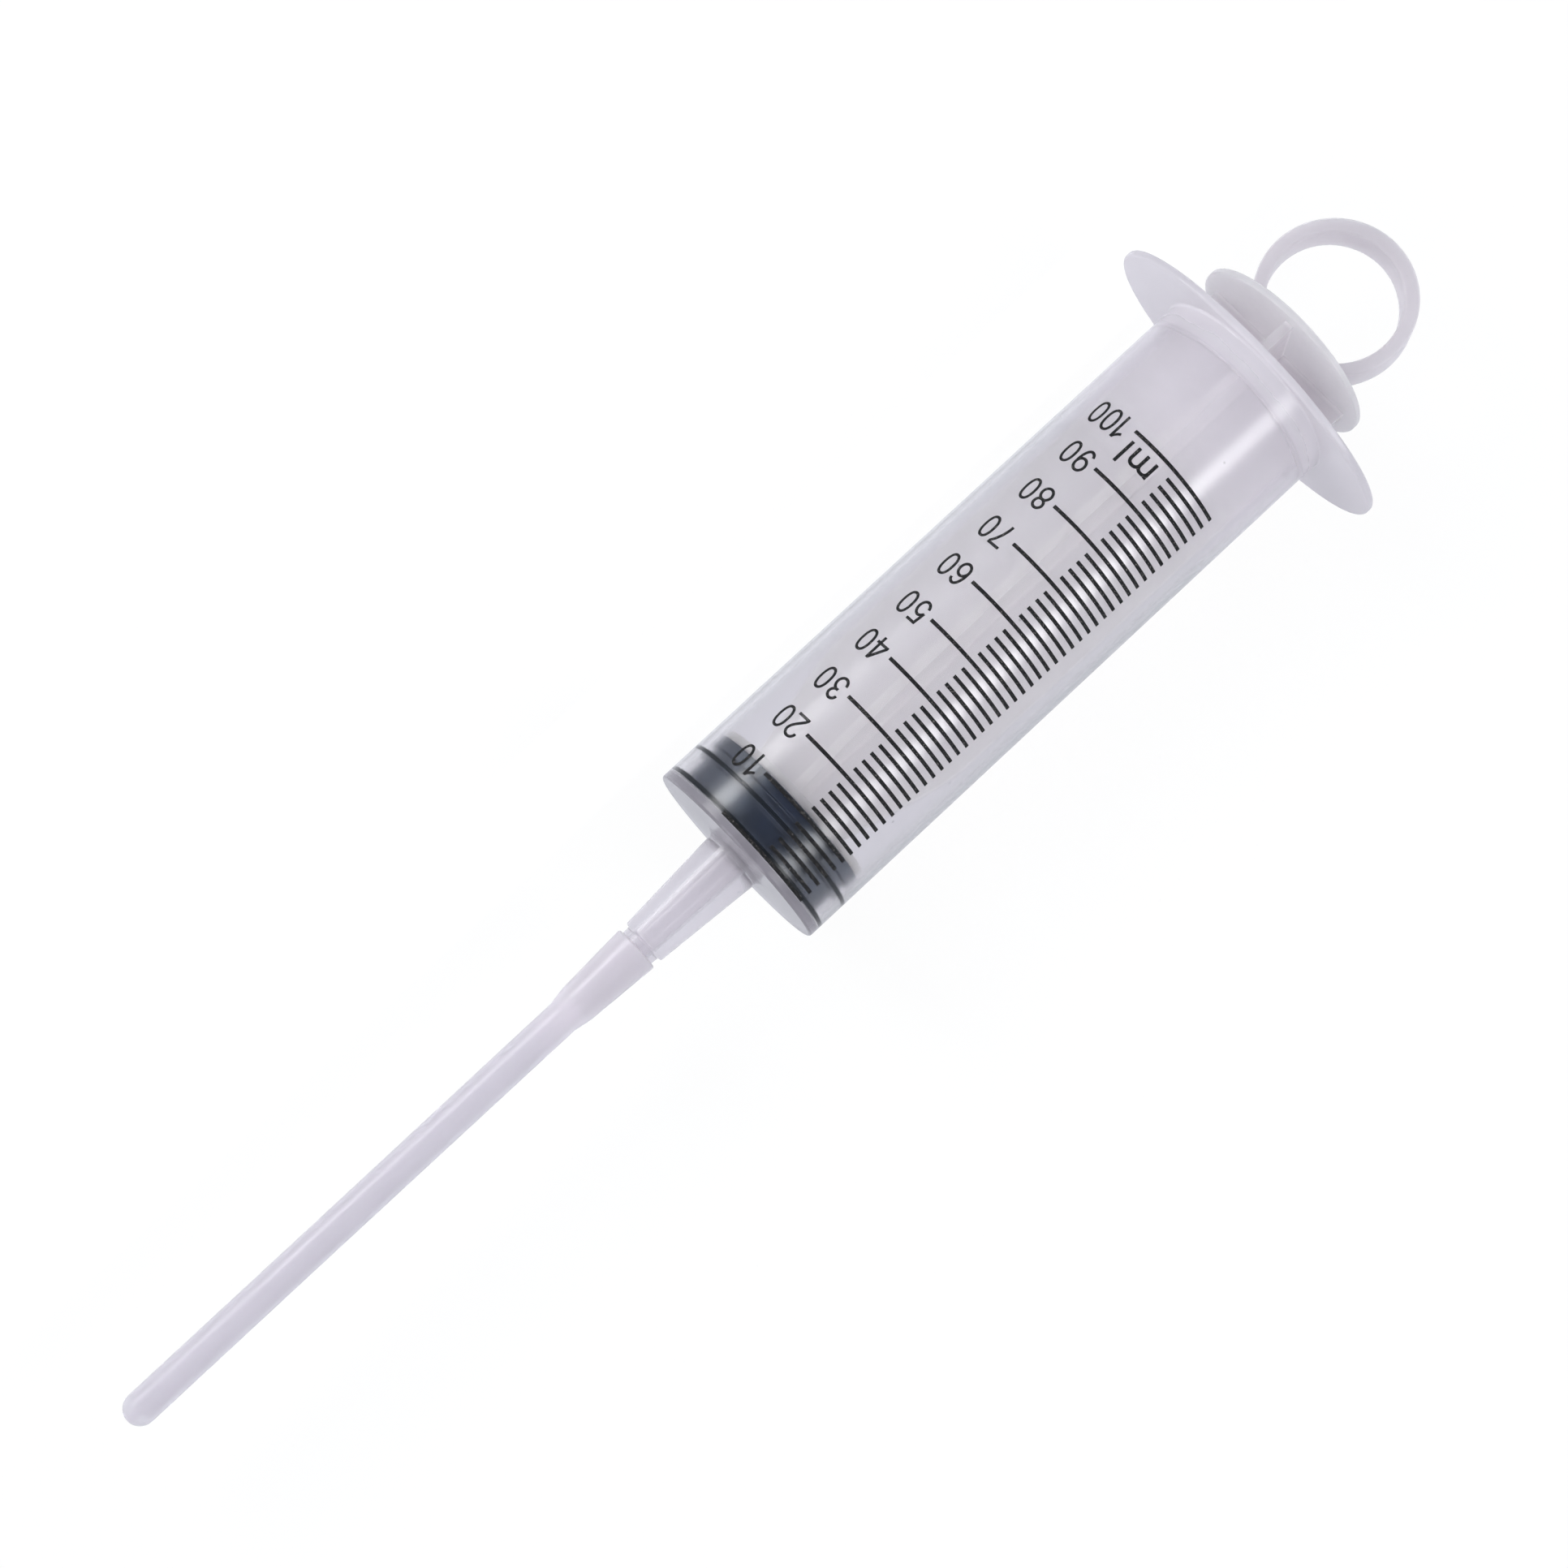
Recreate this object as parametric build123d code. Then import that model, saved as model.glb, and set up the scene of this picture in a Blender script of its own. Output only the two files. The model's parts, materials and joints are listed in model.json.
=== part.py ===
"""Large plastic injector syringe: barrel, plunger with finger ring, rubber stopper, push-on tube.

Frame: X runs along the barrel's axis from the tube's tip towards the finger ring, Z is up with
the flange's long side level along Y, and the origin lies on the axis in the plane of the
0 ml line, where the stopper's front face stands when the plunger is pressed home.
All sizes are in millimetres.
"""
from build123d import *
import os

# ---------------------------------------------------------------- driving dimensions
# barrel
BORE_R = 17.9             # 100 ml takes 99.3 mm of this bore
BARREL_WALL = 1.45
FRONT_WALL = 1.9          # end wall that carries the nozzle
FRONT_EDGE = 0.5          # rounding of the barrel's front outer edge
BORE_CORNER = 0.4
BORE_LENGTH = 126.6       # inner face of the front wall to the open end

# finger flange: an oval plate on the barrel's open end
FLANGE_HALF_LENGTH = 32.1
FLANGE_HALF_WIDTH = 20.2
FLANGE_THICKNESS = 1.6
FLANGE_EDGE = 0.5
FLANGE_FILLET = 0.5       # where the barrel runs into the plate

# retaining bead inside the open end
BEAD_FROM_END = 6.2       # bead centre to the open end
BEAD_HEIGHT = 0.35
BEAD_WIDTH = 1.6

# nozzle and the spigot that the tube is pushed on
NOZZLE_LENGTH = 22.3
NOZZLE_ROOT_R = 6.0
NOZZLE_TIP_R = 4.5
NOZZLE_FILLET = 1.4
NOZZLE_EDGE = 0.35
NOZZLE_BORE_R = 2.7
SPIGOT_LENGTH = 15.7
SPIGOT_ROOT_R = 3.8
SPIGOT_TIP_R = 2.95
SPIGOT_EDGE = 0.3
SPIGOT_BORE_R = 1.9

# push-on tube with its belled socket
MOUTH_GAP = 1.6           # nozzle shoulder to the socket's mouth
SOCKET_WALL = 0.8
SOCKET_EDGE = 0.45
SOCKET_CLEARANCE = 0.05
SOCKET_END_GAP = 0.4      # spigot's end to the socket's floor
BELL_LENGTH = 3.4         # run from the socket's full wall down to the tube
BELL_ROUNDING = 4.0
TUBE_ROOT_R = 3.18
TUBE_TIP_R = 3.09
TUBE_BORE_R = 2.15
TUBE_TAPER = 57.0         # run over which the tube narrows to its tip radius
TUBE_LENGTH = 102.5       # end of the bell to the tip
OUTLET_R = 0.8
OUTLET_LENGTH = 3.2

# rubber stopper
STOP_GAP = 0.3            # stopper to the barrel's front wall, plunger pressed home
STOPPER_LENGTH = 10.7
RIB_CLEARANCE = 0.05      # sealing ribs to the bore
SEAL_RIB_WIDTH = 1.1
SECOND_RIB_START = 5.6
WAIST_R = 16.65           # between the sealing ribs
BACK_WAIST_R = 16.8       # behind the second rib
BACK_RIM_R = 17.4
BACK_RIM_LENGTH = 2.3
RIB_SLOPE = 0.35          # axial run of each rib's sloping side
STOPPER_EDGE = 0.15

# plunger head, which snaps into the stopper
HEAD_R = 10.0
HEAD_LENGTH = 4.2
HEAD_EDGE = 0.8
NECK_R = 6.0
NECK_LENGTH = 3.1
HEAD_CLEARANCE = 0.1
PLATE_GAP = 0.1           # stopper's back to the seat plate
PLATE_R = 17.0
PLATE_THICKNESS = 1.6
PLATE_EDGE = 0.3

# plunger rod: four ribs in a cross
ROD_RIB_R = 16.3
ROD_RIB_THICKNESS = 1.8
ROD_ROOT_R = 10.5         # ribs where they leave the seat plate
ROD_TAPER = 22.6          # run over which the ribs widen
ROD_TAPER_ROUNDING = 40.0
ROD_LENGTH = 121.25       # seat plate to the thumb disc

# thumb disc and finger ring
DISC_R = 19.25
DISC_THICKNESS = 1.4
DISC_EDGE = 0.35
RING_R = 15.2
RING_HOLE_R = 12.5
RING_DEPTH = 7.0
RING_RISE = 12.7          # disc's back face to the ring's centre
RING_HOLE_SHIFT = 0.3     # hole's centre lies this much nearer the disc
RING_EDGE = 0.45
REST_TURN = -8.0          # plunger's turn in the barrel at rest, in degrees about X

# ---------------------------------------------------------------- sizes that follow
BARREL_R = BORE_R + BARREL_WALL
BORE_START = -STOP_GAP
FRONT_FACE = BORE_START - FRONT_WALL
OPEN_END = BORE_START + BORE_LENGTH
BEAD_X = OPEN_END - BEAD_FROM_END
SHOULDER = FRONT_FACE - NOZZLE_LENGTH
SPIGOT_END = SHOULDER - SPIGOT_LENGTH
SPIGOT_SLOPE = (SPIGOT_ROOT_R - SPIGOT_TIP_R) / SPIGOT_LENGTH

MOUTH = SHOULDER - MOUTH_GAP
SOCKET_END = SPIGOT_END - SOCKET_END_GAP
BELL_END = SOCKET_END - BELL_LENGTH
TUBE_TIP = BELL_END - TUBE_LENGTH

SEAL_RIB_R = BORE_R - RIB_CLEARANCE
BACK_RIM_START = STOPPER_LENGTH - BACK_RIM_LENGTH
SECOND_RIB_END = SECOND_RIB_START + SEAL_RIB_WIDTH

PLATE_FRONT = STOPPER_LENGTH + PLATE_GAP
PLATE_BACK = PLATE_FRONT + PLATE_THICKNESS
HEAD_BACK = PLATE_FRONT - NECK_LENGTH
HEAD_FRONT = HEAD_BACK - HEAD_LENGTH
DISC_FRONT = PLATE_BACK + ROD_LENGTH
DISC_BACK = DISC_FRONT + DISC_THICKNESS
RING_X = DISC_BACK + RING_RISE


# ---------------------------------------------------------------- helpers
def outline(corners):
    """Flat face through (x, radius, rounding) corners, each rounded as stated."""
    face = make_face(Polyline(*[(x, r) for x, r, _ in corners], close=True))
    for x, r, rounding in corners:
        if rounding > 0:
            corner = face.vertices().sort_by_distance((x, r, 0))[0]
            face = fillet(corner, rounding)
    return face


def turned(corners):
    """Solid turned about the X axis from (x, radius, rounding) corners."""
    return revolve(outline(corners), Axis.X)


def spigot_r(x):
    """Radius of the spigot's cone at x."""
    return SPIGOT_ROOT_R - SPIGOT_SLOPE * (SHOULDER - x)


# ---------------------------------------------------------------- barrel
def barrel_outside():
    """Spigot, nozzle, front wall and barrel wall as one turned blank."""
    return turned([
        (SPIGOT_END, 0, 0),
        (SPIGOT_END, SPIGOT_TIP_R, SPIGOT_EDGE),
        (SHOULDER, SPIGOT_ROOT_R, SPIGOT_EDGE),
        (SHOULDER, NOZZLE_TIP_R, NOZZLE_EDGE),
        (FRONT_FACE, NOZZLE_ROOT_R, NOZZLE_FILLET),
        (FRONT_FACE, BARREL_R, FRONT_EDGE),
        (OPEN_END, BARREL_R, 0),
        (OPEN_END, 0, 0),
    ])


def flange_plate():
    """Oval finger flange with softened rims, flush with the barrel's open end."""
    oval = Plane.YZ.offset(OPEN_END) * Ellipse(FLANGE_HALF_LENGTH, FLANGE_HALF_WIDTH)
    plate = extrude(oval, -FLANGE_THICKNESS)
    rims = plate.edges().filter_by(GeomType.ELLIPSE)
    return fillet(rims, FLANGE_EDGE)


def barrel_bore():
    """The hollow for the stopper, with the retaining bead standing into it."""
    bead_r = BORE_R - BEAD_HEIGHT
    return turned([
        (BORE_START, 0, 0),
        (BORE_START, BORE_R, BORE_CORNER),
        (BEAD_X - BEAD_WIDTH / 2, BORE_R, 0),
        (BEAD_X, bead_r, BEAD_WIDTH / 3),
        (BEAD_X + BEAD_WIDTH / 2, BORE_R, 0),
        (OPEN_END, BORE_R, 0),
        (OPEN_END, 0, 0),
    ])


def nozzle_bore():
    """Tapered liquid way from the barrel's front wall to the spigot's end."""
    return turned([
        (SPIGOT_END, 0, 0),
        (SPIGOT_END, SPIGOT_BORE_R, 0),
        (BORE_START, NOZZLE_BORE_R, 0),
        (BORE_START, 0, 0),
    ])


def junction_edges(solid):
    """Circle where the barrel's outside meets the flange's front face."""
    x = OPEN_END - FLANGE_THICKNESS
    rings = solid.edges().filter_by(GeomType.CIRCLE).filter_by_position(Axis.X, x - 0.01, x + 0.01)
    return rings.filter_by(lambda edge: abs(edge.radius - BARREL_R) < 0.01)


def make_barrel():
    blank = barrel_outside() + flange_plate()
    blank = fillet(junction_edges(blank), FLANGE_FILLET)
    return blank - barrel_bore() - nozzle_bore()


# ---------------------------------------------------------------- stopper
def make_stopper():
    outside = turned([
        (0, 0, 0),
        (0, SEAL_RIB_R, STOPPER_EDGE),
        (SEAL_RIB_WIDTH, SEAL_RIB_R, STOPPER_EDGE),
        (SEAL_RIB_WIDTH + RIB_SLOPE, WAIST_R, STOPPER_EDGE),
        (SECOND_RIB_START - RIB_SLOPE, WAIST_R, STOPPER_EDGE),
        (SECOND_RIB_START, SEAL_RIB_R, STOPPER_EDGE),
        (SECOND_RIB_END, SEAL_RIB_R, STOPPER_EDGE),
        (SECOND_RIB_END + RIB_SLOPE, BACK_WAIST_R, STOPPER_EDGE),
        (BACK_RIM_START - RIB_SLOPE, BACK_WAIST_R, STOPPER_EDGE),
        (BACK_RIM_START, BACK_RIM_R, STOPPER_EDGE),
        (STOPPER_LENGTH, BACK_RIM_R, STOPPER_EDGE),
        (STOPPER_LENGTH, 0, 0),
    ])
    return outside - head_shape(HEAD_CLEARANCE)


# ---------------------------------------------------------------- plunger
def head_shape(extra):
    """Mushroom head and neck up to the seat plate, grown by extra all round."""
    return turned([
        (HEAD_FRONT - extra, 0, 0),
        (HEAD_FRONT - extra, HEAD_R + extra, HEAD_EDGE),
        (HEAD_BACK + extra, HEAD_R + extra, HEAD_EDGE / 2),
        (HEAD_BACK + extra, NECK_R + extra, 0),
        (PLATE_FRONT + extra, NECK_R + extra, 0),
        (PLATE_FRONT + extra, 0, 0),
    ])


def seat_plate():
    """Round plate that backs the stopper."""
    return turned([
        (PLATE_FRONT, 0, 0),
        (PLATE_FRONT, PLATE_R, PLATE_EDGE),
        (PLATE_BACK, PLATE_R, PLATE_EDGE),
        (PLATE_BACK, 0, 0),
    ])


def rod_rib():
    """One full-width blade of the cross, narrower towards the seat plate."""
    upper = outline([
        (PLATE_BACK, 0, 0),
        (PLATE_BACK, ROD_ROOT_R, 0),
        (PLATE_BACK + ROD_TAPER, ROD_RIB_R, ROD_TAPER_ROUNDING),
        (DISC_FRONT, ROD_RIB_R, 0),
        (DISC_FRONT, 0, 0),
    ])
    half = extrude(upper, ROD_RIB_THICKNESS / 2, both=True)
    return half + half.rotate(Axis.X, 180)


def thumb_disc():
    return turned([
        (DISC_FRONT, 0, 0),
        (DISC_FRONT, DISC_R, DISC_EDGE),
        (DISC_BACK, DISC_R, DISC_EDGE),
        (DISC_BACK, 0, 0),
    ])


def finger_ring():
    """Round band in the XY plane, cut off inside the thumb disc."""
    hole = Pos(-RING_HOLE_SHIFT, 0, 0) * Cylinder(RING_HOLE_R, RING_DEPTH)
    band = Cylinder(RING_R, RING_DEPTH) - hole
    band = fillet(band.edges().filter_by(GeomType.CIRCLE), RING_EDGE)
    band = Pos(RING_X, 0, 0) * band
    cut_x = DISC_BACK - DISC_THICKNESS / 2
    return split(band, Plane.YZ.offset(cut_x), keep=Keep.TOP)


def make_plunger():
    blade = rod_rib()
    plunger = head_shape(0) + seat_plate() + thumb_disc()
    plunger += blade + blade.rotate(Axis.X, 90)
    plunger += finger_ring()
    return plunger.rotate(Axis.X, REST_TURN)


# ---------------------------------------------------------------- tube
def tube_outside():
    """Belled socket, tube with a little draft, and a half-round tip."""
    mouth_r = spigot_r(MOUTH) + SOCKET_CLEARANCE + SOCKET_WALL
    bell_r = spigot_r(SOCKET_END) + SOCKET_CLEARANCE + SOCKET_WALL
    nose_x = TUBE_TIP + TUBE_TIP_R
    body = turned([
        (nose_x, 0, 0),
        (nose_x, TUBE_TIP_R, 0),
        (BELL_END - TUBE_TAPER, TUBE_TIP_R, 0),
        (BELL_END, TUBE_ROOT_R, BELL_ROUNDING),
        (SOCKET_END, bell_r, BELL_ROUNDING),
        (MOUTH, mouth_r, SOCKET_EDGE),
        (MOUTH, 0, 0),
    ])
    return body + Pos(nose_x, 0, 0) * Sphere(TUBE_TIP_R)


def tube_inside():
    """Tapered socket, bore and outlet."""
    floor_r = spigot_r(SOCKET_END) + SOCKET_CLEARANCE
    outlet_start = TUBE_TIP + OUTLET_LENGTH
    return turned([
        (TUBE_TIP, 0, 0),
        (TUBE_TIP, OUTLET_R, 0),
        (outlet_start, OUTLET_R, 0),
        (outlet_start, TUBE_BORE_R, 0),
        (SOCKET_END, TUBE_BORE_R, 0),
        (SOCKET_END, floor_r, 0),
        (MOUTH, spigot_r(MOUTH) + SOCKET_CLEARANCE, 0),
        (MOUTH, 0, 0),
    ])


def make_tube():
    return tube_outside() - tube_inside()


# ---------------------------------------------------------------- write the pieces
PIECES = {
    "barrel": make_barrel,
    "rubber_stopper": make_stopper,
    "plunger": make_plunger,
    "injection_tube": make_tube,
}

os.makedirs("parts", exist_ok=True)
for name, make in PIECES.items():
    export_step(make(), f"parts/{name}.step")
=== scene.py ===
"""Looks of the 100 ml injector syringe: translucent plastics, rubber stopper and printed scale.

Metres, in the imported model's frame: X along the barrel towards the finger ring, Z up, origin on
the axis in the plane of the 0 ml line.
"""
import json
import math

import bpy
from mathutils import Matrix, Vector


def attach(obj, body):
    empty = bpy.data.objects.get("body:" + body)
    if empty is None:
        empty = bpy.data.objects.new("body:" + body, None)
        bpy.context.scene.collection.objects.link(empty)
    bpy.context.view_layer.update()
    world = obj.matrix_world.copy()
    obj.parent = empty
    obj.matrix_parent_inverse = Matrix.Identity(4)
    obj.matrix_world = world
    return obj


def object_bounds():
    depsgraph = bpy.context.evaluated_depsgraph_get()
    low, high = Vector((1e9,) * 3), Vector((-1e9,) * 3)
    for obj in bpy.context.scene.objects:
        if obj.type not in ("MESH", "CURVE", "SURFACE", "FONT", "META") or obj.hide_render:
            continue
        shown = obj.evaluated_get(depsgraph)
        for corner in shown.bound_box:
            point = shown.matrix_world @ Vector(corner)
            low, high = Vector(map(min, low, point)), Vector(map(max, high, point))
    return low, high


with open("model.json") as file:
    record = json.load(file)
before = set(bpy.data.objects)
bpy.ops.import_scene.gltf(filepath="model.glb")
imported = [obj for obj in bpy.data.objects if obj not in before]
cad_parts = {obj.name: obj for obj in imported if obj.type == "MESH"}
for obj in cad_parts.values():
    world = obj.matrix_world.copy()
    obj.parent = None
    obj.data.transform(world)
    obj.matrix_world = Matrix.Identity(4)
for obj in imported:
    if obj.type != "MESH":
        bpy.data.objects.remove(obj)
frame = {"nodes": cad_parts, "record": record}
cad_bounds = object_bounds()

MM = 0.001
MOUNTS = {mount["name"]: mount for mount in frame["record"]["mounts"]}
BARREL_R = MOUNTS["barrel_grip"]["dims"]["r_mm"] * MM
BORE_R = 17.9 * MM
BAND_STARTS = (0.05 * MM, 5.65 * MM)     # front edges of the stopper's sealing ribs
BAND_WIDTH = 1.0 * MM
BAND_SQUEEZE = 0.03 * MM                 # rubber's surface outside the bore's radius

# places in mm along the barrel where its plastic changes, each about 1 mm or less from what it names
PAST_SPIGOT, NOZZLE_ROOT = -45, -3.4
WALL_FRONT, WALL_BACK = -2.3, -0.4       # outer and inner face of the front wall
BORE_START = -0.1
BEAD_EDGE, BEAD_CREST = 119.6, 120.1     # low ring in the bore near its open end
FLANGE_FRONT, PAST_END = 124.4, 127
# the same along the plunger and the tube as they lie at rest
DEEP_IN_BARREL, OUT_OF_BARREL = 116, 125
ROD_END, DISC_FRONT, DISC_BACK = 132.8, 133.5, 134.8
PAST_DISC, PAST_RING = 136, 165
PAST_TUBE, BELL_FRONT, BELL_BACK, PAST_SOCKET = -170, -52, -42, -20

# ---------------------------------------------------------------- printed scale
SCALE_ML = 100
ML_STEP = 2
LONG_EVERY_ML = 10
ML_LENGTH = 0.9931 * MM          # travel for one millilitre
LINE_WIDTH = 0.73 * MM
INK_LIFT = 0.02 * MM             # print's surface above the plastic
LONG_FROM, SHORT_FROM, LINES_TO = -20.6, 9.3, 45.2     # degrees round from +Z towards -Y
NUMBER_FROM = -24.3              # left edge of the numbers, degrees
NUMBER_DROP = 2.25               # a number's foot below its line, mm
LAST_NUMBER_DROP = 1.35          # the same for 100
DIGIT_PITCH = 3.42               # mm from one digit's left edge to the next
DIGIT_STROKE = 0.57              # mm
NARROW_STARTS = {"10": (0, 3.06), "100": (0, 2.45, 5.82)}
UNIT_FROM, UNIT_FOOT = 2.0, 97.7  # left edge in degrees, foot in mm along the barrel
UNIT_STROKE = 0.68               # mm


def arc(cx, cy, rx, ry, start, end, power=2.0):
    """Points on an ellipse between two angles in degrees; a higher power squares its shoulders."""
    steps = max(4, int(abs(end - start) / 10))
    points = []
    for i in range(steps + 1):
        a = math.radians(start + (end - start) * i / steps)
        c, s = math.cos(a), math.sin(a)
        x = math.copysign(abs(c) ** (2 / power), c)
        y = math.copysign(abs(s) ** (2 / power), s)
        points.append((cx + rx * x, cy + ry * y))
    return points


SIX = [
    arc(1.42, 3.78, 0.94, 0.95, 6, 90) + arc(1.42, 2.20, 1.14, 2.53, 97, 186),
    arc(1.36, 1.58, 1.08, 1.31, 0, 360),
]
# centre lines of the strokes in mm, from each glyph's lower left corner
GLYPHS = {
    "0": [arc(1.35, 2.5, 1.08, 2.23, 0, 360, 2.35)],
    "1": [[(1.44, 0), (1.44, 5.0)],
          [(0.05, 3.50), (0.55, 3.80), (0.98, 4.22), (1.24, 4.62), (1.34, 4.95)]],
    "2": [arc(1.33, 3.63, 1.07, 1.10, 183, -12)
          + [(2.14, 2.80), (1.62, 2.10), (0.98, 1.38), (0.50, 0.78), (0.34, 0.27)],
          [(0.02, 0.27), (2.84, 0.27)]],
    "3": [arc(1.24, 3.76, 0.94, 0.97, 180, -80),
          [(0.92, 2.73)] + arc(1.30, 1.50, 1.07, 1.23, 86, -176)],
    "4": [[(2.08, 0), (2.08, 5.0)], [(0, 1.40), (2.86, 1.40)], [(0.20, 1.38), (1.96, 4.80)]],
    "5": [[(2.52, 4.73), (0.44, 4.73)], [(0.70, 4.98), (0.40, 2.34)],
          [(0.34, 2.42), (0.80, 2.90)] + arc(1.34, 1.70, 1.06, 1.43, 100, -165)],
    "6": SIX,
    "7": [[(0.03, 4.73), (2.75, 4.73)],
          [(2.58, 4.60), (1.88, 3.52), (1.36, 2.25), (1.07, 1.05), (0.98, 0)]],
    "8": [arc(1.35, 3.72, 0.97, 1.01, 0, 360), arc(1.35, 1.50, 1.08, 1.23, 0, 360)],
    "9": [[(2.72 - x, 5.0 - y) for x, y in stroke] for stroke in SIX],
}
UNIT_STROKES = [
    [(0.34, 0), (0.34, 3.62)],
    arc(1.39, 2.28, 1.05, 1.02, 176, 0, 2.2) + [(2.44, 0)],
    arc(3.49, 2.28, 1.05, 1.02, 176, 0, 2.2) + [(4.54, 0)],
    [(6.34, 0), (6.34, 4.95)],
]


def on_barrel(x, around):
    """Point on the print's surface, around metres from +Z towards -Y."""
    angle = around / BARREL_R
    r = BARREL_R + INK_LIFT
    return Vector((x, -r * math.sin(angle), r * math.cos(angle)))


def around_at(degrees):
    """Metres round the barrel for an angle in degrees."""
    return math.radians(degrees) * BARREL_R


def mesh_piece(name, verts, faces, material, smooth=True):
    """New object in the scene with a mesh and one material."""
    mesh = bpy.data.meshes.new(name)
    mesh.from_pydata(verts, [], faces)
    mesh.update()
    for polygon in mesh.polygons:
        polygon.use_smooth = smooth
    mesh.materials.append(material)
    piece = bpy.data.objects.new(name, mesh)
    bpy.context.scene.collection.objects.link(piece)
    return piece


def line_patch(x, start, end):
    """Corners and faces of one printed line across the scale."""
    steps = max(6, int((end - start) / 1.5))
    verts, faces = [], []
    for i in range(steps + 1):
        around = around_at(start + (end - start) * i / steps)
        verts.append(on_barrel(x - LINE_WIDTH / 2, around))
        verts.append(on_barrel(x + LINE_WIDTH / 2, around))
    for i in range(steps):
        a = 2 * i
        faces.append((a, a + 2, a + 3, a + 1))
    return verts, faces


def stroke_patch(points, width, x_foot, start):
    """Corners and faces of one pen stroke; points in mm from the word's lower left corner."""
    count = len(points)
    closed = math.dist(points[0], points[-1]) < 1e-6
    verts, faces = [], []
    for i, (u, v) in enumerate(points):
        before = points[i - 1] if i else (points[-2] if closed else points[0])
        after = points[i + 1] if i < count - 1 else (points[1] if closed else points[-1])
        du, dv = after[0] - before[0], after[1] - before[1]
        size = math.hypot(du, dv)
        for side in (0.5, -0.5):
            across = u - side * width * dv / size
            up = v + side * width * du / size
            verts.append(on_barrel(x_foot - up * MM, start - across * MM))
    for i in range(count - 1):
        a = 2 * i
        faces.append((a, a + 2, a + 3, a + 1))
    return verts, faces


def printed_scale(material):
    """The scale's lines, numbers and unit as one piece."""
    verts, faces = [], []

    def add(patch):
        base = len(verts)
        verts.extend(patch[0])
        faces.extend(tuple(i + base for i in face) for face in patch[1])

    for ml in range(0, SCALE_ML + 1, ML_STEP):
        start = SHORT_FROM if ml % LONG_EVERY_ML else LONG_FROM
        add(line_patch(ml * ML_LENGTH, start, LINES_TO))
    for ml in range(LONG_EVERY_ML, SCALE_ML + 1, LONG_EVERY_ML):
        word = str(ml)
        drop = LAST_NUMBER_DROP if ml == SCALE_ML else NUMBER_DROP
        foot = ml * ML_LENGTH + drop * MM
        starts = NARROW_STARTS.get(word, (0, DIGIT_PITCH))
        for digit, left in zip(word, starts):
            for stroke in GLYPHS[digit]:
                moved = [(x + left, y) for x, y in stroke]
                add(stroke_patch(moved, DIGIT_STROKE, foot, around_at(NUMBER_FROM)))
    for stroke in UNIT_STROKES:
        add(stroke_patch(stroke, UNIT_STROKE, UNIT_FOOT * MM, around_at(UNIT_FROM)))
    return mesh_piece("printed_scale", verts, faces, material)


# ---------------------------------------------------------------- materials
class Tree:
    """A node tree with a few helpers to build on it."""

    def __init__(self, owner):
        owner.use_nodes = True
        self.nodes = owner.node_tree.nodes
        self.links = owner.node_tree.links
        self.nodes.clear()

    def join(self, out, into):
        self.links.new(out, into)

    def ranged(self, out, low, high, to_low, to_high, smooth=False):
        node = self.nodes.new("ShaderNodeMapRange")
        node.interpolation_type = "SMOOTHSTEP" if smooth else "LINEAR"
        limits = {"From Min": low, "From Max": high, "To Min": to_low, "To Max": to_high}
        for name, value in limits.items():
            node.inputs[name].default_value = value
        self.join(out, node.inputs["Value"])
        return node.outputs[0]

    def maths(self, operation, a, b=None):
        node = self.nodes.new("ShaderNodeMath")
        node.operation = operation
        for i, value in enumerate((a, b)):
            if isinstance(value, (int, float)):
                node.inputs[i].default_value = value
            elif value is not None:
                self.join(value, node.inputs[i])
        return node.outputs[0]

    def blend(self, share, a, b):
        """Colour a where share is 0, b where it is 1."""
        node = self.nodes.new("ShaderNodeMix")
        node.data_type = "RGBA"
        self.join(share, node.inputs["Factor"])
        for name, value in (("A", a), ("B", b)):
            socket = [s for s in node.inputs if s.name == name and s.type == "RGBA"][0]
            if isinstance(value, tuple):
                socket.default_value = (*value, 1)
            else:
                self.join(value, socket)
        return [s for s in node.outputs if s.type == "RGBA"][0]


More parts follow.
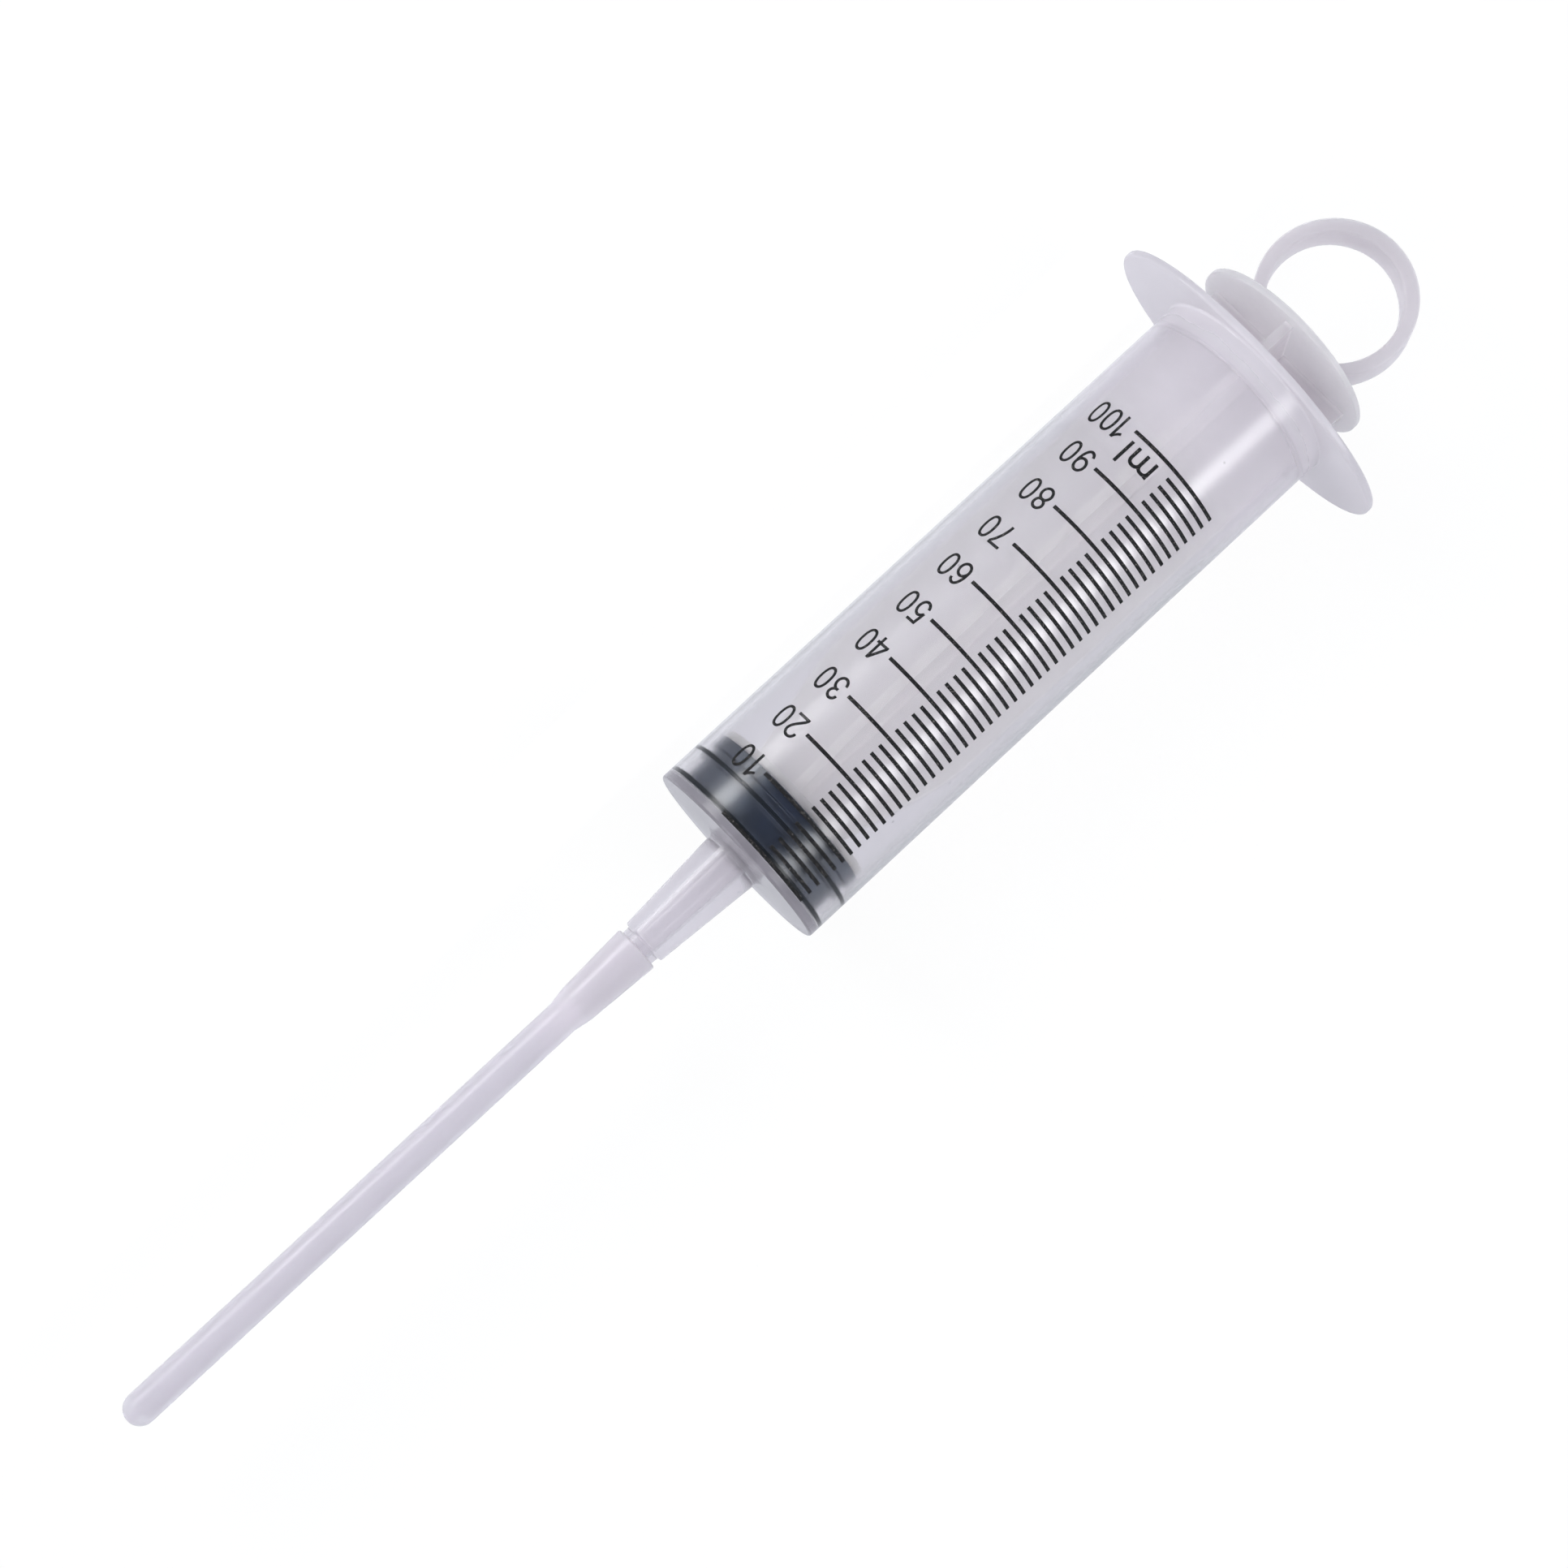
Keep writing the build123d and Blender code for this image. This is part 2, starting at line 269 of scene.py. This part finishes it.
class Surface(Tree):
    """A Principled material with helpers to hang patterns on it."""

    def __init__(self, name):
        self.material = bpy.data.materials.new(name)
        super().__init__(self.material)
        self.output = self.nodes.new("ShaderNodeOutputMaterial")
        self.shader = self.nodes.new("ShaderNodeBsdfPrincipled")
        self.join(self.shader.outputs[0], self.output.inputs["Surface"])
        self.place = self.nodes.new("ShaderNodeTexCoord").outputs["Object"]

    def set(self, **values):
        """Sets the shader's inputs, with an underscore for each space in a name."""
        for name, value in values.items():
            socket = self.shader.inputs[name.replace("_", " ")]
            socket.default_value = (*value, 1) if socket.type == "RGBA" else value

    def stretched(self, scale):
        node = self.nodes.new("ShaderNodeMapping")
        node.inputs["Scale"].default_value = scale
        self.join(self.place, node.inputs["Vector"])
        return node.outputs[0]

    def noise(self, per_metre, detail, stretch=(1, 1, 1)):
        """Noise that runs longer along an axis where stretch is below 1."""
        node = self.nodes.new("ShaderNodeTexNoise")
        node.inputs["Scale"].default_value = per_metre
        node.inputs["Detail"].default_value = detail
        self.join(self.stretched(stretch), node.inputs["Vector"])
        return node.outputs["Fac"]

    def bump(self, height, strength, distance):
        node = self.nodes.new("ShaderNodeBump")
        node.inputs["Strength"].default_value = strength
        node.inputs["Distance"].default_value = distance
        self.join(height, node.inputs["Height"])
        self.join(node.outputs[0], self.shader.inputs["Normal"])

    def let_lamps_through(self, share):
        """Lets rays towards lamps pass each face, as the light behind a thin clear wall does."""
        clear = self.nodes.new("ShaderNodeBsdfTransparent")
        if isinstance(share, tuple):
            clear.inputs["Color"].default_value = (*share, 1)
        else:
            self.join(share, clear.inputs["Color"])
        mix = self.nodes.new("ShaderNodeMixShader")
        self.join(self.nodes.new("ShaderNodeLightPath").outputs["Is Shadow Ray"], mix.inputs[0])
        self.join(self.shader.outputs[0], mix.inputs[1])
        self.join(clear.outputs[0], mix.inputs[2])
        self.join(mix.outputs[0], self.output.inputs["Surface"])

    def along(self, axis, stops):
        """Value that runs through (place in mm, value) stops along an axis."""
        split = self.nodes.new("ShaderNodeSeparateXYZ")
        self.join(self.place, split.inputs[0])
        first, last = stops[0][0], stops[-1][0]
        share = self.ranged(split.outputs[axis], first * MM, last * MM, 0, 1)
        ramp = self.nodes.new("ShaderNodeValToRGB")
        self.join(share, ramp.inputs["Fac"])
        points = ramp.color_ramp.elements
        while len(points) < len(stops):
            points.new(0.5)
        for point, (place, value) in zip(points, stops):
            point.position = (place - first) / (last - first)
            point.color = (value, value, value, 1)
        return ramp.outputs["Color"]

    def specks(self, per_metre, size, share):
        """1 at scattered specks: size is a part of their spacing, share how many places have one."""
        node = self.nodes.new("ShaderNodeTexVoronoi")
        node.inputs["Scale"].default_value = per_metre
        self.join(self.place, node.inputs["Vector"])
        near = self.ranged(node.outputs["Distance"], size, size * 0.6, 0, 1)
        split = self.nodes.new("ShaderNodeSeparateColor")
        self.join(node.outputs["Color"], split.inputs[0])
        chosen = self.maths("LESS_THAN", split.outputs[0], share)
        return self.maths("MULTIPLY", near, chosen)


def barrel_plastic():
    """Clear, faintly violet plastic that turns milky at the end wall and towards the flange, with
    painted shade on the end wall and a little on the nozzle and by the flange.
    """
    s = Surface("barrel_plastic")
    s.set(IOR=1.2, Specular_IOR_Level=0.02, Coat_Weight=0.55, Coat_Roughness=0.26, Coat_IOR=1.45)
    clear = s.along("X", [(PAST_SPIGOT, 0.77), (NOZZLE_ROOT, 0.77), (WALL_FRONT, 0.55),
                          (WALL_BACK, 0.55), (BORE_START, 0.998), (93, 0.998), (104, 0.82),
                          (111, 0.755), (BEAD_EDGE, 0.745), (BEAD_CREST, 0.62), (122, 0.52),
                          (FLANGE_FRONT, 0.46), (PAST_END, 0.46)])
    cloud = s.ranged(s.noise(45, 2, (0.35, 1, 1)), 0.3, 0.7, 0, 1)
    milk = s.blend(cloud, (0.75, 0.721, 0.756), (0.78, 0.750, 0.786))
    glass = s.blend(cloud, (0.845, 0.831, 0.848), (0.87, 0.855, 0.869))
    wall = s.blend(cloud, (0.298, 0.280, 0.312), (0.336, 0.318, 0.35))
    # painted shade: this mask lays the darker wall colour on the front wall in full, and about a tenth
    # of it on the nozzle and by the flange
    shade = s.along("X", [(PAST_SPIGOT, 0.10), (NOZZLE_ROOT, 0.10), (WALL_FRONT, 1), (WALL_BACK, 1),
                          (BORE_START, 0), (BEAD_EDGE, 0), (BEAD_CREST, 0.05),
                          (FLANGE_FRONT, 0.11), (PAST_END, 0.11)])
    tint = s.blend(shade, milk, wall)
    tint = s.blend(s.ranged(clear, 0.76, 0.99, 0, 1), tint, glass)
    speck = s.maths("MULTIPLY", s.specks(150, 0.05, 0.22), 0.45)
    s.join(s.blend(speck, tint, (0.25, 0.25, 0.28)), s.shader.inputs["Base Color"])
    s.join(clear, s.shader.inputs["Transmission Weight"])
    matt = s.along("X", [(PAST_SPIGOT, 0.20), (WALL_FRONT, 0.20), (WALL_BACK, 0.17),
                         (BEAD_EDGE, 0.17), (BEAD_CREST, 0.20), (FLANGE_FRONT, 0.34),
                         (PAST_END, 0.34)])
    uneven = s.ranged(s.noise(160, 3, (0.3, 1, 1)), 0.3, 0.7, 0, 0.03)
    s.join(s.maths("ADD", uneven, matt), s.shader.inputs["Roughness"])
    s.bump(s.noise(60, 2, (0.4, 1, 1)), 0.03, 0.0002)
    s.let_lamps_through(s.ranged(clear, 0.4, 1, 0.6, 1.0))
    return s.material


def plunger_plastic():
    """Milky plastic with painted light: the rod inside the barrel and the disc's front face are
    coloured lighter than the ring, for light they lack, and the ribs between flange and disc darker, as
    painted shade.
    """
    s = Surface("plunger_plastic")
    s.set(IOR=1.25, Specular_IOR_Level=0.2, Coat_Weight=0.4, Coat_Roughness=0.3, Coat_IOR=1.45,
          Subsurface_Weight=1.0, Subsurface_Radius=(1.0, 0.95, 1.0), Subsurface_Scale=0.012)
    cloud = s.ranged(s.noise(60, 3), 0.3, 0.7, 0, 1)
    full_light_tone = s.blend(cloud, (0.565, 0.530, 0.557), (0.602, 0.566, 0.593))
    rod = s.blend(cloud, (0.735, 0.718, 0.726), (0.765, 0.748, 0.756))
    disc = s.blend(cloud, (0.738, 0.707, 0.726), (0.768, 0.737, 0.756))
    outside = s.along("X", [(0, 0), (DEEP_IN_BARREL, 0), (OUT_OF_BARREL, 1), (PAST_RING, 1)])
    thin = s.blend(outside, rod, disc)
    # painted light: the share of the lighter colour, full on the rod inside the barrel and on the
    # disc's front face; the ribs between flange and disc keep mostly the darker colour as painted shade
    light = s.along("X", [(0, 1), (DEEP_IN_BARREL, 1), (OUT_OF_BARREL, 0.15), (ROD_END, 0.15),
                          (DISC_FRONT, 1), (DISC_BACK, 0.68), (PAST_DISC, 0), (PAST_RING, 0)])
    tint = s.blend(light, full_light_tone, thin)
    speck = s.maths("MULTIPLY", s.specks(220, 0.07, 0.2), 0.4)
    s.join(s.blend(speck, tint, (0.3, 0.3, 0.33)), s.shader.inputs["Base Color"])
    s.join(s.ranged(cloud, 0, 1, 0.42, 0.50), s.shader.inputs["Transmission Weight"])
    s.join(s.ranged(s.noise(400, 3), 0.3, 0.7, 0.45, 0.6), s.shader.inputs["Roughness"])
    s.bump(s.noise(700, 3), 0.12, 0.0001)
    s.let_lamps_through((0.72, 0.72, 0.74))
    return s.material


def tube_plastic():
    """Milky plastic, painted a little lighter where the socket sits on the spigot: painted light that
    offsets the shade of the layers inside.
    """
    s = Surface("tube_plastic")
    s.set(IOR=1.2, Specular_IOR_Level=0.2, Coat_Weight=0.3, Coat_Roughness=0.24, Coat_IOR=1.45,
          Subsurface_Weight=1.0, Subsurface_Radius=(1.0, 0.95, 1.0), Subsurface_Scale=0.002)
    cloud = s.ranged(s.noise(90, 3, (0.2, 1, 1)), 0.3, 0.7, 0, 1)
    # painted light: the socket's lighter colour stands in for light lost in the spigot and bore inside
    # it
    socket = s.blend(cloud, (0.76, 0.727, 0.76), (0.79, 0.757, 0.79))
    tube = s.blend(cloud, (0.70, 0.677, 0.71), (0.73, 0.707, 0.74))
    at_socket = s.along("X", [(PAST_TUBE, 0), (BELL_FRONT, 0), (BELL_BACK, 1), (PAST_SOCKET, 1)])
    tint = s.blend(at_socket, tube, socket)
    speck = s.maths("MULTIPLY", s.specks(260, 0.08, 0.12), 0.45)
    s.join(s.blend(speck, tint, (0.3, 0.29, 0.33)), s.shader.inputs["Base Color"])
    s.join(s.ranged(cloud, 0, 1, 0.56, 0.64), s.shader.inputs["Transmission Weight"])
    s.join(s.ranged(s.noise(300, 3, (0.2, 1, 1)), 0.3, 0.7, 0.30, 0.38), s.shader.inputs["Roughness"])
    s.bump(s.noise(220, 3, (0.3, 1, 1)), 0.2, 0.0001)
    s.let_lamps_through((0.72, 0.71, 0.74))
    return s.material


def rubber(name, ior, dull, oily):
    """Black rubber, a little blue, that runs between a dull colour and a glossier, oily one."""
    s = Surface(name)
    s.set(IOR=ior, Specular_Tint=(0.80, 0.90, 1.0))
    film = s.ranged(s.noise(120, 3), 0.35, 0.65, 0, 1, True)
    s.join(s.blend(film, dull, oily), s.shader.inputs["Base Color"])
    s.join(s.ranged(film, 0, 1, 0.23, 0.17), s.shader.inputs["Roughness"])
    s.bump(s.noise(1500, 3), 0.12, 0.0001)
    return s.material


def ink():
    """Black print with pinholes where the plastic took no ink."""
    s = Surface("scale_ink")
    s.set(IOR=1.3, Specular_IOR_Level=0.3)
    worn = s.ranged(s.noise(4200, 2), 0.58, 0.72, 0, 1)
    s.join(s.blend(worn, (0.009, 0.009, 0.010), (0.17, 0.155, 0.145)), s.shader.inputs["Base Color"])
    s.join(s.ranged(s.noise(900, 2), 0.3, 0.7, 0.5, 0.7), s.shader.inputs["Roughness"])
    return s.material


def pressed_bands(material):
    """The stopper's two sealing ribs where they are squeezed flat on the bore."""
    verts, faces = [], []
    turns = 128
    profile = [(0.0, -0.25), (0.12, 0.0), (0.88, 0.0), (1.0, -0.25)]   # share of the width, mm of depth
    for start in BAND_STARTS:
        base = len(verts)
        for i in range(turns):
            angle = math.tau * i / turns
            for share, depth in profile:
                r = BORE_R + BAND_SQUEEZE + depth * MM
                verts.append((start + share * BAND_WIDTH, -r * math.sin(angle), r * math.cos(angle)))
        count = len(profile)
        for i in range(turns):
            here, after = base + i * count, base + (i + 1) % turns * count
            for j in range(count):
                k = (j + 1) % count
                faces.append((here + j, after + j, after + k, here + k))
    return mesh_piece("pressed_ribs", verts, faces, material)


def dress(node, material):
    """Gives each slot of a CAD node the same material."""
    for slot in frame["nodes"][node].material_slots:
        slot.material = material


dress("barrel", barrel_plastic())
dress("plunger", plunger_plastic())
dress("injection_tube", tube_plastic())
dress("rubber_stopper", rubber("black_rubber", 2.0, (0.005, 0.008, 0.018), (0.010, 0.015, 0.032)))
bands = pressed_bands(rubber("pressed_rubber", 1.3, (0.002, 0.003, 0.005), (0.004, 0.006, 0.010)))
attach(bands, "stopper")
scale = printed_scale(ink())
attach(scale, "barrel")


# ---------------------------------------------------------------- studio
END_FILL, SIDE_FILL, TOP_FILL = 1.38, 0.30, 0.07
END_COLOUR, SIDE_COLOUR = (0.94, 0.96, 1.0), (0.62, 0.80, 1.0)
DIM_BAND_AT = 0.10               # x of the dim band across the sky, on the unit sphere of directions
DIM_BAND_EDGE = (0.28, 0.55)     # distance from there in x over which it brightens to the end fill
TOP_EDGE = (0.50, 0.66)          # y over which the band goes from the top's strength to the sides'
HORIZON_EDGE = (0.2, 0.7)        # z over which the white horizon gives way to the sky
GLOSS_WHITE = 0.4                # part of the white horizon that reflections show
FLOOR_HALF = 3.0
FLOOR_GLOW = 0.92                # part of the floor that shows plain white to the camera
FLOOR_BENT_GLOW = 0.9            # part of it that glows to mirrored and bent rays
FLOOR_COLOUR, FLOOR_BENT_COLOUR = (1.0, 1.0, 1.0), (0.91, 0.93, 1.0)
# strength of that glow, by the distance in mm to the left of the syringe's axis: painted shadow to its
# right and painted light 27 to 40 mm to its left, shown only to mirrored and bent rays
FLOOR_TONES = [(-60, 0.77), (-27, 0.77), (-19, 0.92), (19, 0.95), (27, 1.04), (40, 1.04), (60, 0.5)]


def make_world():
    """A tent: bright ends, a dim bluish band across the sky, plain white towards the camera."""
    world = bpy.data.worlds.new("studio")
    bpy.context.scene.world = world
    t = Tree(world)
    fill = t.nodes.new("ShaderNodeBackground")
    white = t.nodes.new("ShaderNodeBackground")
    white.inputs["Color"].default_value = (1, 1, 1, 1)
    split = t.nodes.new("ShaderNodeSeparateXYZ")
    t.join(t.nodes.new("ShaderNodeTexCoord").outputs["Generated"], split.inputs[0])
    along, across, up = (split.outputs[axis] for axis in "XYZ")
    from_band = t.maths("ABSOLUTE", t.maths("SUBTRACT", along, DIM_BAND_AT))
    end = t.ranged(from_band, *DIM_BAND_EDGE, 0, 1)
    band = t.ranged(t.maths("ABSOLUTE", across), *TOP_EDGE, TOP_FILL, SIDE_FILL)
    dim = t.maths("MULTIPLY", band, t.maths("SUBTRACT", 1, end))
    t.join(t.maths("ADD", dim, t.maths("MULTIPLY", end, END_FILL)), fill.inputs["Strength"])
    t.join(t.blend(end, SIDE_COLOUR, END_COLOUR), fill.inputs["Color"])
    path = t.nodes.new("ShaderNodeLightPath")
    mirrored = t.maths("MULTIPLY", path.outputs["Is Glossy Ray"], GLOSS_WHITE)
    bent = t.maths("MAXIMUM", mirrored, path.outputs["Is Transmission Ray"])
    horizon = t.ranged(up, *HORIZON_EDGE, 1, 0)
    share = t.maths("MAXIMUM", path.outputs["Is Camera Ray"], t.maths("MULTIPLY", bent, horizon))
    mix = t.nodes.new("ShaderNodeMixShader")
    t.join(share, mix.inputs[0])
    t.join(fill.outputs[0], mix.inputs[1])
    t.join(white.outputs[0], mix.inputs[2])
    t.join(mix.outputs[0], t.nodes.new("ShaderNodeOutputWorld").inputs[0])


def make_floor():
    """Floor that shows the camera plain white and the object's shadow, and shows bent rays a glow with
    painted shadow and light.
    """
    s = Surface("white_floor")
    s.set(Base_Color=(0.9, 0.9, 0.9), Roughness=0.9, Specular_IOR_Level=0.1)
    white = s.nodes.new("ShaderNodeEmission")
    mix = s.nodes.new("ShaderNodeMixShader")
    path = s.nodes.new("ShaderNodeLightPath")
    camera = path.outputs["Is Camera Ray"]
    bent = s.maths("MAXIMUM", path.outputs["Is Glossy Ray"], path.outputs["Is Transmission Ray"])
    bent = s.maths("MULTIPLY", bent, FLOOR_BENT_GLOW)
    s.join(s.maths("MAXIMUM", s.maths("MULTIPLY", camera, FLOOR_GLOW), bent), mix.inputs[0])
    # painted shadow and light: the glow's strength varies across the floor by FLOOR_TONES
    s.join(s.maths("MAXIMUM", camera, s.along("Y", FLOOR_TONES)), white.inputs["Strength"])
    s.join(s.blend(camera, FLOOR_BENT_COLOUR, FLOOR_COLOUR), white.inputs["Color"])
    s.join(s.shader.outputs[0], mix.inputs[1])
    s.join(white.outputs[0], mix.inputs[2])
    s.join(mix.outputs[0], s.output.inputs["Surface"])
    signs = [(-1, -1), (1, -1), (1, 1), (-1, 1)]
    corners = [(x * FLOOR_HALF, y * FLOOR_HALF, cad_bounds[0].z) for x, y in signs]
    mesh_piece("floor", corners, [(0, 1, 2, 3)], s.material, smooth=False)


def softbox(name, at, aim, width, length, watts):
    """Rectangular area lamp, its length along X as nearly as its aim allows.

    Bent rays don't see it: what lies behind clear plastic is lit by let_lamps_through alone.
    """
    lamp = bpy.data.lights.new(name, "AREA")
    lamp.shape = "RECTANGLE"
    lamp.size, lamp.size_y = length, width
    lamp.energy = watts
    holder = bpy.data.objects.new(name, lamp)
    holder.visible_transmission = False
    bpy.context.scene.collection.objects.link(holder)
    back = (Vector(at) - Vector(aim)).normalized()
    along = (Vector((1, 0, 0)) - back * back.x).normalized()
    side = back.cross(along)
    turn = Matrix((along, side, back)).transposed()
    holder.matrix_world = Matrix.Translation(at) @ turn.to_4x4()


CAMERA_AT = Vector((-52.5, -13.4, 591.1)) * MM
CAMERA_AIM = Vector((13.1, 3.7, 0)) * MM
CAMERA_UP = Vector((0.6749, 0.7317, 0.0961))
CAMERA_LENS = 76.42              # mm, on a sensor 36 mm wide


def make_camera():
    """Perspective camera fitted to the photo's marks, flange, disc and front rim."""
    camera = bpy.data.cameras.new("camera")
    camera.lens = CAMERA_LENS
    camera.sensor_width = 36
    camera.clip_start = 0.01
    camera.clip_end = 20
    holder = bpy.data.objects.new("camera", camera)
    bpy.context.scene.collection.objects.link(holder)
    back = (CAMERA_AT - CAMERA_AIM).normalized()
    right = CAMERA_UP.cross(back).normalized()
    up = back.cross(right)
    turn = Matrix((right, up, back)).transposed()
    holder.matrix_world = Matrix.Translation(CAMERA_AT) @ turn.to_4x4()
    bpy.context.scene.camera = holder


make_world()
make_floor()
softbox("right_softbox", at=(0.28, -0.65, 0.6), aim=(0.1, 0, 0), width=0.25, length=0.38, watts=3.1)
softbox("left_softbox", at=(-0.09, 0.71, 0.52), aim=(-0.02, 0, 0), width=0.30, length=0.38, watts=4.2)
make_camera()

bpy.context.scene.view_settings.view_transform = "Standard"
